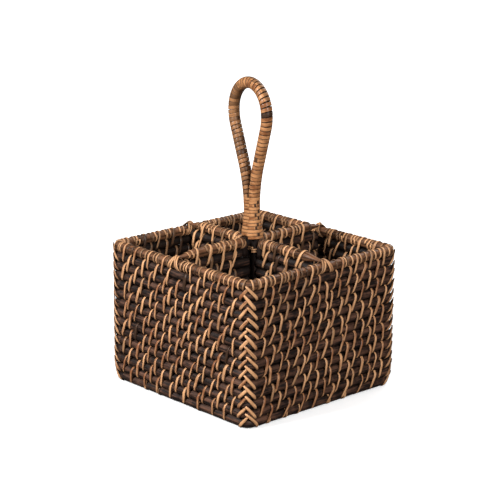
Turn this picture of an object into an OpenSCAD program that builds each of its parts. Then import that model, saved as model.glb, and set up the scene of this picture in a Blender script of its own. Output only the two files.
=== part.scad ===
// Square utensil caddy: stacked rattan rods lashed with split cane, two crossing dividers
// and a wrapped loop handle on a post of two rattan legs.
// X runs to the right along the front wall, Y to the back, Z up. The origin is the middle of the base.

/* [Basket] */
// Outer width of the basket over its lashing
basket_w = 178; // [150:2:220]
// Rod rows in a wall, with the foot row and the rim
wall_rows = 15; // [11:1:17]
// Diameter of the rattan rods
rod_d = 7.6; // [6.8:0.2:8.2]
// Bend radius of a row's centre line at the corners
corner_r = 6; // [5.4:0.2:9]
// How far the foot row sits inside the rows above it
foot_inset = 1.2; // [0:0.2:1.6]
// Rods side by side in the base
base_rods_n = 18; // [16:1:18]

/* [Lashing] */
// Width of a cane strip
strip_w = 2.2; // [1.8:0.1:2.4]
// Thickness of a cane strip
strip_t = 0.7; // [0.5:0.05:0.8]
// Distance between the stitches of one row on a wall
wall_stitch = 17.6; // [17:0.2:18]
// Distance between the stitches of one row on the base
base_stitch = 32; // [28:1:34]
// Distance between the stitches of one row on a divider
divider_stitch = 13.6; // [13:0.2:16]
// Sideways lean of a stitch on its outer face, per unit of height
stitch_lean = 0.32; // [0.2:0.02:0.36]

/* [Dividers] */
// Height of the dividers' top rods above the rim rod
divider_rise = 5.4; // [5:0.2:6]
// Distance of the front-to-back divider from the middle, to the right
divider_x = -3.6; // [-6:0.2:0]
// Length of the shaved taper on a top rod's outer end
tongue_taper = 14; // [10:1:18]

/* [Handle] */
// Diameter of the rattan legs and loop
core_d = 7.2; // [6.6:0.1:7.6]
// Thickness of the cane wound round them
wrap_t = 1.1; // [0.9:0.1:1.2]
// Distance of the post's foot from the middle, to the right
post_x = 3.4; // [2:0.2:4]
// Lean of the post and loop to the left, in degrees
handle_lean = 2.8; // [2:0.1:3]
// Turn of the loop from the front wall's direction, in degrees
handle_turn = -10; // [-12:1:-6]
// Height at which the two legs begin to part
part_z = 154; // [150:1:158]
// Bend radius of the legs where they part
part_r = 115; // [100:5:130]
// Angle to which each leg opens
leg_splay = 21; // [18:0.5:23]
// Straight run of each opened leg
leg_run = 34.5; // [25:0.5:40]
// Bend radius of the loop's sides
side_r = 32.6; // [28:0.2:40]
// Width of one turn of cane on the loop
loop_turn = 4.2; // [3.6:0.1:5]
// Width of one turn of cane on the neck
neck_turn = 2.7; // [2.4:0.1:3.2]
// How much the neck's lowest turn stands out beyond the plain ones
neck_flare = 2.3; // [1:0.1:2.6]

/* [Colours] */
// Rattan rods
rod_colour = "#3b2b24"; // ["#3b2b24", "#4a3529", "#2c211c"]
// Rim and the dividers' top rods
rim_colour = "#6b4a33"; // ["#6b4a33", "#5a3f2d", "#7a563b"]
// Cane of the lashing
cane_colour = "#b98655"; // ["#b98655", "#c4935f", "#a87848"]
// Cane wound round the handle
wrap_colour = "#a9743f"; // ["#a9743f", "#b98655", "#96662f"]

/* [Hidden] */
$fn = 48;
// Play between a strip and what it is laid on, so that neighbours touch without sharing space
seat = 0.03;
rod_r = rod_d / 2;
strip_in = rod_r + seat;
strip_out = strip_in + strip_t;
row_play = 0.1;
pitch = rod_d + strip_t + row_play;
// Half the distance between the centre lines of opposite rods in a row, and of the foot row
half = basket_w / 2 - strip_out;
foot_half = half - foot_inset;
first_z = strip_out;
rim_z = first_z + (wall_rows - 1) * pitch;
top_row = wall_rows - 2;
// Play at a butted end
gap = 0.2;
// Places of the loops on a top rod, as shares of the way from one stitch to the next
loop_shares = [0.3, 0.7];
// How far a stitch reaches sideways at its own rod's middle
lean_reach = stitch_lean * pitch / 2;

// Corner lacing: a chevron's legs climb from the gap under their rod to the corner's edge
lace_rise = 10;
chevron_reach = (corner_r + strip_out) * sin(45);
chevron_slope = lace_rise / chevron_reach;
// A return bridges the hollow of its rod's bend, which keeps it this far off the rod
return_play = 0.3;

// Sides of a swept bar
bar_sides = 16;

// The base: its rods fill the room inside the foot row
base_reach = foot_half - strip_out - gap;
base_pitch = (2 * base_reach - rod_d) / (base_rods_n - 1);
base_top = first_z + strip_out;
base_edge_y = base_reach - rod_r;

// The dividers: rows are spread evenly between the base and the top rods
wing_reach = half - strip_out - gap;
divider_top_z = rim_z + divider_rise;
divider_foot_z = base_top + strip_out + gap;
divider_rows = wall_rows - 1;
divider_pitch = (divider_top_z - divider_foot_z) / (divider_rows - 1);
// Where a wing's rods start: against the other divider, or beside the leaning post
wing_side_clear = rod_r + 0.3;
wing_post_clear = core_d / 2 + 2.2;
// Distance of a wing's outermost stitches from its outer end
wing_edge = 7;
elbow_r = 5;
elbow_drop = divider_pitch - 2;
tongue_r = divider_rise - rod_r - 2 * seat;
tie_angle = 50;

// The handle: legs part on an arc, run straight, then close over a side arc and a top arc
core_r = core_d / 2;
wrap_r = core_r + wrap_t;
// Half the distance between the legs' centre lines, where they stand side by side
leg_half = core_r + seat;
side_past = 3;
opened_x = leg_half + part_r * (1 - cos(leg_splay));
opened_z = part_z + part_r * sin(leg_splay);
bow_x = opened_x + leg_run * sin(leg_splay);
bow_z = opened_z + leg_run * cos(leg_splay);
side_cx = bow_x - side_r * cos(leg_splay);
side_cz = bow_z + side_r * sin(leg_splay);
top_r = (side_cx + side_r * cos(side_past)) / cos(side_past);
top_cz = side_cz + (side_r - top_r) * sin(side_past);
foot_z = base_top + gap + core_r * sin(handle_lean);
// The leg wraps start a little above where two wrapped legs just clear each other, and the
// neck's turns end a little below that
wrap_margin = 0.3;
wrap_start = acos(1 - (wrap_t + seat) / part_r) + wrap_margin;
notch_h = 1;
neck_top_z = part_z + part_r * sin(wrap_start) - notch_h;
neck_turns = 14;
neck_low_turns = 6;
binding_z = rim_z - 1.2;
// The top arc of the swept rattan starts past its join with the side arc
top_start = side_past + 8;
turn_gap = 0.25;

CORNERS = ["front_right", "back_right", "back_left", "front_left"];
WINGS = ["right", "back", "left", "front"];

function row_z(i) = first_z + i * pitch;
function row_half(i) = i == 0 ? foot_half : half;
function odd(i) = i % 2 == 1;

// Cross-sections -------------------------------------------------------------

module ring(r_in, r_out) {
    difference() {
        circle(r_out);
        circle(r_in);
    }
}

// Section of a chevron: X is outwards. It bridges two rods and turns in under the lower one
// over flats that just clear it.
module chevron_section() {
    translate([strip_in, 0]) square([strip_t, pitch]);
    intersection() {
        rotate(22.5) difference() {
            circle(strip_out / cos(22.5), $fn = 8);
            circle(strip_in / cos(22.5), $fn = 8);
        }
        translate([0, -pitch / 2]) square([strip_out + 1, pitch / 2]);
    }
}

// The outline round two round bars side by side along X, at a radius from each one's centre
module pair_outline(r, apart) {
    translate([-apart / 2, 0]) circle(r);
    translate([apart / 2, 0]) circle(r);
    square([apart, 2 * r], center = true);
}

// Rods -----------------------------------------------------------------------

module rod_x(from, to, r = rod_r) {
    translate([from, 0, 0]) rotate([0, 90, 0]) cylinder(h = to - from, r = r);
}

// A round bar swept along points in the XZ plane, with a radius at each point. Its rings
// stand square to the way between the points before and after.
module swept_bar(path, radii) {
    n = len(path);
    function way(k) = path[min(k + 1, n - 1)] - path[max(k - 1, 0)];
    points = [
        for (k = [0:n - 1], a = [0:bar_sides - 1])
            let (w = way(k) / norm(way(k)), t = 360 * a / bar_sides, out = radii[k] * cos(t))
            [path[k][0] + out * w[1], radii[k] * sin(t), path[k][1] - out * w[0]]
    ];
    sides = [
        for (k = [0:n - 2], a = [0:bar_sides - 1])
            let (b = (a + 1) % bar_sides, low = k * bar_sides, high = low + bar_sides)
            [low + a, low + b, high + b, high + a]
    ];
    start = [[for (a = [bar_sides - 1:-1:0]) a]];
    end = [[for (a = [0:bar_sides - 1]) (n - 1) * bar_sides + a]];
    polyhedron(points, concat(start, sides, end));
}

// Points of an arc in a plane, from one angle to another, the ends included
function arc(cx, cy, r, from, to, steps) =
    [for (k = [0:steps]) let (t = from + (to - from) * k / steps) [cx + r * cos(t), cy + r * sin(t)]];

// One row of a wall: a rod bent round the four corners
module row(half_w) {
    run = half_w - corner_r;
    for (s = [0:3]) rotate(90 * s) {
        translate([0, -half_w, 0]) rod_x(-run, run);
        translate([run, -run, 0]) rotate(-90)
            rotate_extrude(angle = 90) translate([corner_r, 0]) circle(rod_r);
    }
}

module foot_rod() {
    color(rod_colour) translate([0, 0, row_z(0)]) row(row_half(0));
}

module wall_rod(i) {
    color(rod_colour) translate([0, 0, row_z(i)]) row(row_half(i));
}

module rim_rod() {
    color(rim_colour) translate([0, 0, rim_z]) row(half);
}

module base_rods() {
    color(rod_colour)
        for (k = [0:base_rods_n - 1])
            translate([0, -base_edge_y + k * base_pitch, first_z]) rod_x(-base_reach, base_reach);
}

// Lashing --------------------------------------------------------------------

// Stitches round two rods along X, at Z = 0 and Z = spacing, with their outer face to -Y.
// A shell that fits both rods is cut into strips by slabs that lean towards +X.
module lashing(places, spacing) {
    length = 2 * basket_w;
    end = spacing / 2 + strip_out + 1;
    slope = stitch_lean * end;
    w = strip_w / 2;
    translate([0, 0, spacing / 2]) intersection() {
        translate([-length / 2, 0, 0]) rotate([90, 0, 90])
            linear_extrude(height = length) rotate(90) difference() {
                pair_outline(strip_out, spacing);
                pair_outline(strip_in, spacing);
            }
        rotate([90, 0, 0]) linear_extrude(height = 4 * rod_d, center = true)
            for (x = places)
                translate([x, 0]) polygon([
                    [-slope - w, -end], [-slope + w, -end], [slope + w, end], [slope - w, end]
                ]);
    }
}

// Stitch places on a wall row, alternate rows half a stitch apart
function wall_places(i) = let (n = odd(i) ? 4 : 3.5) [for (k = [-n:1:n]) k * wall_stitch];

// Middle of the divider that meets a wall, along that wall seen from outside
function meeting_x(s) = s == 0 ? divider_x : s == 2 ? -divider_x : 0;
function clear_of(x, middle, room) = abs(x - middle) > room;

module wall_lashing(i) {
    room = i == top_row ? wall_stitch / 2 : 0;
    color(cane_colour)
        for (s = [0:3]) {
            places = [for (x = wall_places(i)) if (clear_of(x, meeting_x(s), room)) x];
            rotate(90 * s) translate([0, -row_half(i), row_z(i)])
                lashing(places, pitch);
        }
}

// A loop of cane round one rod along X
module rod_loop(x) {
    translate([x - strip_w / 2, 0, 0]) rotate([90, 0, 90])
        linear_extrude(height = strip_w) ring(strip_in, strip_out);
}

// Loops on the rim between its long stitches
module rim_loops() {
    last = half - corner_r - 2;
    places = [for (k = [-5:4], dx = loop_shares) (k + dx) * wall_stitch + lean_reach];
    color(cane_colour)
        for (s = [0:3], x = places)
            if (abs(x) < last && clear_of(x, meeting_x(s), wall_stitch / 2 - 1))
                rotate(90 * s) translate([0, -half, rim_z]) rod_loop(x);
}

// Corner lacing --------------------------------------------------------------

// A shell round a corner over one side of the rods, with the bend centred on the Z axis.
// The children are its section: X is outwards from the rod's centre line, Y is up.
module corner_shell() {
    rotate(-90) rotate_extrude(angle = 90) translate([corner_r, 0]) children();
}

// A chevron's outline, carried along the corner's diagonal: its legs climb to the edge
module chevron_bar() {
    half_h = strip_w / 2 * sqrt(1 + chevron_slope * chevron_slope);
    reach = chevron_reach + 1;
    foot = -chevron_slope * reach;
    top_z = lace_rise - pitch / 2;
    rotate(45) rotate([90, 0, 0]) linear_extrude(height = 2 * chevron_reach)
        translate([0, top_z]) polygon([
            [0, half_h], [reach, foot + half_h], [reach, foot - half_h],
            [0, -half_h], [-reach, foot - half_h], [-reach, foot + half_h]
        ]);
}

// Puts what is drawn round a bend's centre at a row's corner
module at_corner(c, i) {
    in = row_half(i) - corner_r;
    rotate(90 * c) translate([in, -in, row_z(i)]) children();
}

module corner_lacing(c) {
    color(cane_colour) {
        for (i = [0:top_row])
            at_corner(c, i) intersection() {
                corner_shell() chevron_section();
                chevron_bar();
            }
        // A loop over the rim at the corner's edge
        at_corner(c, wall_rows - 1) intersection() {
            corner_shell() ring(strip_in, strip_out);
            rotate(45) cube([strip_w, 8 * corner_r, 4 * rod_d], center = true);
        }
    }
}

// The strips' ways back, over the inside of each row's bend from one gap to the next
module corner_returns(c) {
    height = pitch - gap;
    color(cane_colour)
        for (i = [1:top_row])
            at_corner(c, i) rotate(-45) translate([corner_r, 0, 0]) rotate([90, 0, 0])
                linear_extrude(height = strip_w, center = true) intersection() {
                    ring(strip_in + return_play, strip_out + return_play);
                    translate([-2 * strip_out, -height / 2]) square([2 * strip_out, height]);
                }
}

// Base lashing: as on a wall, with the outer face downwards
module base_lashing() {
    places = [for (k = [-2:2]) k * base_stitch];
    shifted = [for (k = [-1.5:1:1.5]) k * base_stitch];
    color(cane_colour)
        for (k = [0:base_rods_n - 2])
            translate([0, base_edge_y - k * base_pitch, first_z]) rotate([90, 0, 0])
                lashing(odd(k) ? places : shifted, base_pitch);
}

// Dividers -------------------------------------------------------------------

// Puts a wing, drawn along +X from the middle, in its place
module wing(w) {
    translate([odd(w) ? divider_x : 0, 0, 0]) rotate(90 * w) children();
}

// Where a wing's rods start, at a height: beside the post, or against the other divider
function post_axis_x(z) = post_x - tan(handle_lean) * cos(handle_turn) * z;
function wing_start(w, z) =
    w == 0 ? wing_post_clear + post_axis_x(z)
    : w == 2 ? wing_post_clear - post_axis_x(z)
    : wing_side_clear;
function elbow_x(w) =
    let (play = strip_t + gap, post_side = core_d * cos(handle_turn) + play)
    rod_r + (w == 0 ? post_axis_x(divider_top_z - divider_pitch) + post_side
    : w == 2 ? post_side - post_axis_x(divider_top_z)
    : core_r * (1 + sin(-handle_turn)) + play);
function divider_z(k) = divider_foot_z + k * divider_pitch;

module divider_rods(w) {
    color(rod_colour) difference() {
        wing(w)
            for (k = [0:divider_rows - 2]) {
                z = divider_z(k);
                start = k == divider_rows - 2 ? elbow_x(w) + rod_r + gap : wing_start(w, z);
                translate([0, 0, z]) rod_x(start, wing_reach);
            }
        post_space();
    }
}

// A top rod: bent down beside the post, tapered to a tongue that lies on the rim
module divider_top(w) {
    bend_x = elbow_x(w) + elbow_r;
    taper_x = half - strip_out - tongue_taper;
    tip_x = half + rod_r - tongue_r;
    path = concat(
        [[elbow_x(w), -elbow_r - elbow_drop]],
        arc(bend_x, -elbow_r, elbow_r, 180, 90, 6),
        [[taper_x, 0], [taper_x + tongue_taper, 0], [tip_x, 0]]
    );
    thin = len(path) - 2;
    color(rim_colour) wing(w) translate([0, 0, divider_top_z])
        swept_bar(path, [for (k = [0:len(path) - 1]) k < thin ? rod_r : tongue_r]);
}

// Stitch places along a wing, counted inwards from the wall
function wing_places(k) =
    let (n = k == divider_rows - 2 ? [1:4] : odd(k) ? [0:4] : [0.5:1:3.5])
    [for (i = n) wing_reach - wing_edge - i * divider_stitch];

module divider_lashing(w) {
    top = divider_rows - 2;
    color(cane_colour) wing(w) {
        for (k = [0:top])
            translate([0, 0, divider_z(k)]) lashing(wing_places(k), divider_pitch);
        // Loops round the top rod between its stitches
        for (x = wing_places(top), dx = loop_shares)
            if (x < wing_places(top)[0])
                translate([0, 0, divider_top_z]) rod_loop(x + lean_reach + dx * divider_stitch);
    }
}

// Crossed strips that tie a tongue down on the rim
module rim_tie(w) {
    reach = strip_out + 1;
    color(cane_colour) wing(w) translate([half, 0, 0]) intersection() {
        difference() {
            union() {
                translate([0, 0, rim_z]) rotate([90, 0, 0])
                    linear_extrude(height = 4 * reach, center = true) circle(strip_out);
                translate([-reach, 0, divider_top_z]) rotate([0, 90, 0])
                    cylinder(h = 2 * reach, r = tongue_r + seat + strip_t);
            }
            translate([0, 0, rim_z]) rotate([90, 0, 0])
                linear_extrude(height = 6 * reach, center = true) circle(strip_in);
            translate([-2 * reach, 0, divider_top_z]) rotate([0, 90, 0])
                cylinder(h = 4 * reach, r = tongue_r + seat);
        }
        for (a = [-1, 1])
            rotate(a * tie_angle) cube([6 * reach, strip_w, 4 * rim_z], center = true);
    }
}

// Handle ---------------------------------------------------------------------

// Stands the handle's own upright frame on its foot: the loop lies in its XZ plane
module handle_frame() {
    translate([post_x, 0, 0]) rotate(handle_turn) rotate([0, -handle_lean, 0]) children();
}

// Part of a round bend of cane in the XZ plane, from one angle to another
module bend(cx, cz, r, from, to, r_out, r_in) {
    translate([cx, 0, cz]) rotate([90, 0, 0]) rotate(from)
        rotate_extrude(angle = to - from) translate([r, 0]) ring(r_in, r_out);
}

// Cane round an opened leg's straight run, between two distances from its lower end
module leg_part(from, to, r_out, r_in) {
    translate([opened_x, 0, opened_z]) rotate([0, leg_splay, 0]) translate([0, 0, from])
        linear_extrude(height = to - from) ring(r_in, r_out);
}

module both_legs() {
    children();
    mirror([1, 0, 0]) children();
}

// The room that the post takes up, with a little play
module post_space() {
    handle_frame() both_legs() translate([leg_half, 0, 0]) cylinder(h = 2 * rim_z, r = core_r + seat);
}

// The right half of the bent rattan's centre line, from the foot to the top
leg_path = concat(
    [[leg_half, foot_z]],
    arc(leg_half + part_r, part_z, part_r, 180, 180 - leg_splay, 5),
    arc(side_cx, side_cz, side_r, -leg_splay, side_past, 4),
    arc(0, top_cz, top_r, top_start, 90, 9)
);

module handle_core() {
    turn = len(leg_path) - 2;
    path = concat(leg_path, [for (k = [turn:-1:0]) [-leg_path[k][0], leg_path[k][1]]]);
    color(rod_colour) handle_frame() swept_bar(path, [for (k = path) core_r]);
}

// Turns of cane along a bend
module bend_turns(cx, cz, r, from, to) {
    n = round((to - from) * PI / 180 * r / loop_turn);
    step = (to - from) / n;
    play = turn_gap / r * 90 / PI;
    for (k = [0:n - 1])
        bend(cx, cz, r, from + k * step + play, from + (k + 1) * step - play, wrap_r, core_r + seat);
}

module handle_wrap() {
    color(wrap_colour) handle_frame() {
        both_legs() {
            bend_turns(leg_half + part_r, part_z, part_r, 180 - leg_splay, 180 - wrap_start);
            n = round(leg_run / loop_turn);
            step = leg_run / n;
            for (k = [0:n - 1])
                leg_part(k * step + turn_gap / 2, (k + 1) * step - turn_gap / 2,
                    wrap_r, core_r + seat);
            bend_turns(side_cx, side_cz, side_r, -leg_splay, side_past);
        }
        bend_turns(0, top_cz, top_r, side_past, 180 - side_past);
    }
}

// Distance of a leg's centre from the loop's middle, at a height on the parting bend
function leg_x(z) = leg_half + part_r * (1 - cos(asin(max(0, z - part_z) / part_r)));

// Turns round both legs: plain above, built up towards the lowest one
module neck_wrap() {
    color(wrap_colour) handle_frame()
        for (k = [0:neck_turns - 1]) {
            z = neck_top_z - (neck_turns - k) * neck_turn;
            apart = 2 * leg_x(z + neck_turn);
            flare = max(0, neck_low_turns - k) / neck_low_turns;
            translate([0, 0, z + turn_gap / 2])
                linear_extrude(height = neck_turn - turn_gap) difference() {
                    pair_outline(wrap_r + neck_flare * pow(flare, 2), apart);
                    pair_outline(core_r + seat, apart);
                }
        }
}

// Two turns that bind the legs where the dividers meet them
module post_binding() {
    color(cane_colour) handle_frame()
        for (k = [0, 1])
            translate([0, 0, binding_z - k * strip_w])
                linear_extrude(height = strip_w - turn_gap) difference() {
                    pair_outline(core_r + seat + strip_t, 2 * leg_half);
                    pair_outline(core_r + seat, 2 * leg_half);
                }
}

// What is drawn --------------------------------------------------------------

handle_core();
handle_wrap();
neck_wrap();
post_binding();
for (w = [0:3])
    divider_lashing(w);
for (w = [0:3])
    divider_top(w);
for (w = [0:3])
    divider_rods(w);
for (w = [0:3])
    rim_tie(w);
base_lashing();
base_rods();
for (c = [0:3])
    corner_lacing(c);
for (c = [0:3])
    corner_returns(c);
for (i = [0:top_row])
    wall_lashing(i);
rim_loops();
rim_rod();
foot_rod();
for (i = [1:top_row])
    wall_rod(i);
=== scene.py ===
import math

import bpy
import numpy as np
from mathutils import Matrix, Vector


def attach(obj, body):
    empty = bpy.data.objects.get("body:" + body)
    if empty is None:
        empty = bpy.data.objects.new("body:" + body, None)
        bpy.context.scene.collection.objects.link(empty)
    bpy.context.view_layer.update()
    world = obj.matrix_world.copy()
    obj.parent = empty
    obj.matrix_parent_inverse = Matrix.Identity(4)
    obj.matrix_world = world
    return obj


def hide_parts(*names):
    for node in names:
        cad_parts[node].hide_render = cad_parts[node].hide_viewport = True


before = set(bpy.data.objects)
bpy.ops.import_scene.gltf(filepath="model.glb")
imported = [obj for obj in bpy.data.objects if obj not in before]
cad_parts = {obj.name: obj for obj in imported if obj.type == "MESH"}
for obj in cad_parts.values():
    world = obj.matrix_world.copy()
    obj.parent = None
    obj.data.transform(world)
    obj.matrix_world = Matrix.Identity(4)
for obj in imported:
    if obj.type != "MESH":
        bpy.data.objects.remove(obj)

bl_info = {
    "name": "Lashed rattan caddy",
    "version": (1, 0, 0),
    "blender": (4, 5, 0),
    "location": "3D View > Sidebar > Caddy",
    "description": "Rods, cane lashing, corner chevrons and wound handle of a square "
                   "utensil caddy",
    "category": "Add Mesh",
}

SIDES = ("front", "right", "back", "left")
CORNERS = ("front_right", "back_right", "back_left", "front_left")
WINGS = ("right", "back", "left", "front")
FRONTWARD = np.array([0.0, -1.0, 0.0])
UP = np.array([0.0, 0.0, 1.0])
# Distance of cane from the rod under it, drawn tight and wound loosely
SEAT, LOOSE = 0.00006, 0.0001


# Sizes and colours ----------------------------------------------------------

def length(name, description, default, low, high):
    """A length in metres with its range."""
    return bpy.props.FloatProperty(name=name, description=description, default=default,
                                   min=low, max=high, precision=5, unit="LENGTH")


def slant(name, description, degrees, low, high):
    """An angle, whose default is given in degrees and its range in radians."""
    return bpy.props.FloatProperty(name=name, description=description,
                                   default=math.radians(degrees), min=low, max=high,
                                   subtype="ANGLE")


def row_count(name, description, default):
    """A number of rows."""
    return bpy.props.IntProperty(name=name, description=description, default=default,
                                 min=8, max=20)


def colour(name, description, value):
    """A colour, given as the red, green and blue of linear light."""
    return bpy.props.FloatVectorProperty(name=name, description=description, default=value,
                                         min=0.0, max=1.0, size=3, subtype="COLOR")


class RodSizes(bpy.types.PropertyGroup):
    radius: length("Rod radius", "Half width of the rattan rods", 0.00385, 0.003, 0.005)
    rise: length("Rod rise", "Half height of the rods, which press on each other",
                 0.00412, 0.003, 0.005)
    pitch: length("Row pitch", "Height from one row of rod to the next", 0.0084, 0.007, 0.01)
    rows: row_count("Rows", "Rows of rod in a wall, with the foot and the rim", 15)
    first_z: length("First row", "Height of the foot row's middle", 0.00453, 0.003, 0.01)
    half: length("Half width", "Distance from the middle to a wall rod's centre line",
                 0.08447, 0.06, 0.12)
    foot_half: length("Foot half width", "The same for the foot row", 0.08327, 0.06, 0.12)
    corner: length("Corner bend", "Bend radius of a row's centre line at a corner",
                   0.006, 0.004, 0.012)
    wobble: length("Wobble", "How far a rod wanders from its straight line", 0.0003, 0.0, 0.001)


class StripSizes(bpy.types.PropertyGroup):
    width: length("Strip width", "Width of a strip of split cane", 0.0029, 0.0015, 0.0035)
    thickness: length("Strip thickness", "Thickness of a strip at its crown",
                      0.00078, 0.0004, 0.001)
    wall_stitch: length("Wall stitch", "Distance between the stitches of one wall row",
                        0.0176, 0.012, 0.024)
    divider_stitch: length("Divider stitch", "Distance between the stitches of a divider row",
                           0.0136, 0.01, 0.02)
    outer_step: length("Outer step", "Sideways step of a stitch over the outer face",
                       0.0048, 0.0, 0.008)
    inner_step: length("Inner step", "Sideways step of a stitch over the inner face",
                       0.0048, 0.0, 0.01)
    wander: length("Wander", "How far a stitch strays from its even place", 0.0011, 0.0, 0.003)


class DividerSizes(bpy.types.PropertyGroup):
    top_z: length("Top rods", "Height of the dividers' top rods", 0.12753, 0.1, 0.15)
    foot_z: length("Lowest rods", "Height of the dividers' lowest rods", 0.01379, 0.01, 0.02)
    rows: row_count("Divider rows", "Rows of rod in a divider", 14)
    offset: length("Offset", "Place of the front-to-back divider along X",
                   -0.0036, -0.01, 0.01)
    reach: length("Reach", "Distance from the middle to a divider rod's outer end",
                  0.07974, 0.06, 0.1)


class HandleSizes(bpy.types.PropertyGroup):
    core: length("Leg radius", "Radius of the bent rattan in the handle", 0.0036, 0.003, 0.005)
    core_foot: length("Leg foot", "Height at which the legs begin, above the base",
                      0.0095, 0.005, 0.02)
    wrap: length("Wrap thickness", "Thickness of the cane wound on the handle",
                 0.0015, 0.0005, 0.002)
    foot_x: length("Post foot", "Place of the post's foot along X", 0.0034, 0.0, 0.01)
    lean: slant("Lean", "Lean of the post and the loop to the left", 2.8, 0.0, 0.2)
    turn: slant("Turn", "Turn of the loop from the front wall's direction", -10, -0.5, 0.5)
    loop_turn: length("Loop turn", "Width of one turn of cane on the loop",
                      0.0037, 0.003, 0.006)
    neck_turn: length("Neck turn", "Width of one turn of cane on the neck",
                      0.0028, 0.002, 0.004)


class CaddyColours(bpy.types.PropertyGroup):
    # painted shade: the colour the rods turn to towards the gaps between rows and on the walls'
    # inner side
    rod_gap: colour("Rod, gaps", "Stain where two rods meet", (0.0035, 0.0017, 0.0012))
    rod_dark: colour("Rod, dark", "Stain in the grain of the rods", (0.0125, 0.0070, 0.0056))
    rod_worn: colour("Rod, worn", "Rubbed brown along the rods", (0.140, 0.064, 0.038))
    # also painted shade on the rim's outward and inward faces, as the Rim rod's edge colour
    rim_dark: colour("Rim, dark", "Stain in the grain of the rim", (0.022, 0.010, 0.005))
    rim_worn: colour("Rim, worn", "Rubbed brown along the rim", (0.21, 0.093, 0.045))
    cane_light: colour("Cane, light", "Fresh face of a cane strip", (0.78, 0.415, 0.20))
    cane_deep: colour("Cane, deep", "Honey brown of a cane strip", (0.28, 0.108, 0.046))
    # also painted shade: the cane's edge colour, and the dark that the tone adds at the strips'
    # lower ends and inside the caddy
    cane_stain: colour("Cane, stained", "Strips that took the stain", (0.055, 0.028, 0.016))
    wrap_light: colour("Wrap, light", "Light turns on the handle", (0.60, 0.285, 0.120))
    wrap_deep: colour("Wrap, deep", "Deep turns on the handle", (0.23, 0.084, 0.031))


class Caddy:
    """The scene's sizes and colours by short names: caddy.rods is the group caddy_rods."""

    def __getattr__(self, name):
        return getattr(bpy.context.scene, "caddy_" + name)


caddy = Caddy()


# Surfaces -------------------------------------------------------------------

def xyz(x, y, z):
    """Points from three coordinates, each a value or an array that fits the others."""
    return np.stack(np.broadcast_arrays(x, y, z), -1)


def wave(seed, along, period):
    """Smooth wandering between -1 and 1: the mean of four sine waves of random phase and of
    lengths from a third of the period up to the period. along is a distance, or several."""
    rng = np.random.default_rng(seed)
    lengths = period * rng.uniform(0.33, 1.0, 4)
    phases = rng.uniform(0, 2 * np.pi, 4)
    return np.mean([np.sin(2 * np.pi * along / w + p) for w, p in zip(lengths, phases)], axis=0)


def unit(vectors):
    """Vectors of length one: each is divided by the root of the sum of its squares."""
    return vectors / np.maximum(np.linalg.norm(vectors, axis=-1, keepdims=True), 1e-12)


def way_along(points, closed=False):
    """Direction at each point of paths: from the point before to the point after."""
    if closed:
        return unit(np.roll(points, -1, axis=-2) - np.roll(points, 1, axis=-2))
    return unit(np.gradient(points, axis=-2))


def distance_along(path):
    """Distance from a path's first point to each of its points, step by step."""
    steps = np.linalg.norm(np.diff(path, axis=-2), axis=-1)
    return np.concatenate([np.zeros_like(steps[..., :1]), np.cumsum(steps, axis=-1)], axis=-1)


def tube(centres, normals, radii, sides, closed=False, tall=1.0):
    """A grid round paths: centre + radius * (normal * cos t + tall * side * sin t), with side
    square to the path and the normal, and t from 0 to a full turn. tall above 1 is an oval."""
    along = way_along(centres, closed)
    side = unit(np.cross(along, normals)) * np.asarray(tall)[..., None]
    t = np.linspace(0, 2 * np.pi, sides, endpoint=False)
    ring = normals[..., None, :] * np.cos(t)[:, None] + side[..., None, :] * np.sin(t)[:, None]
    return centres[..., None, :] + radii[..., None, None] * ring


# Sections of a strip as shares of its half width and its thickness: a plain crowned one, and
# a flat one with narrow bevels
CROWNED = ((-1, 0), (1, 0), (0.78, 1), (-0.78, 1))
FLAT = ((-1, 0), (1, 0), (1, 0.84), (0.95, 0.97), (0.86, 1), (-0.86, 1), (-0.95, 0.97),
        (-1, 0.84))


def strip(path, normals, width, thickness, section=CROWNED):
    """A cane strip along paths. Each corner of its section is a share of half the width to the
    side of the path, and a share of the thickness along the normal. width is one value, or
    an array that fits the points."""
    across = unit(np.cross(way_along(path), normals))
    half, lift = np.asarray(width)[..., None] / 2 * across, thickness * normals
    return np.stack([path + half * aside + lift * up for aside, up in section], axis=-2)


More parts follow.
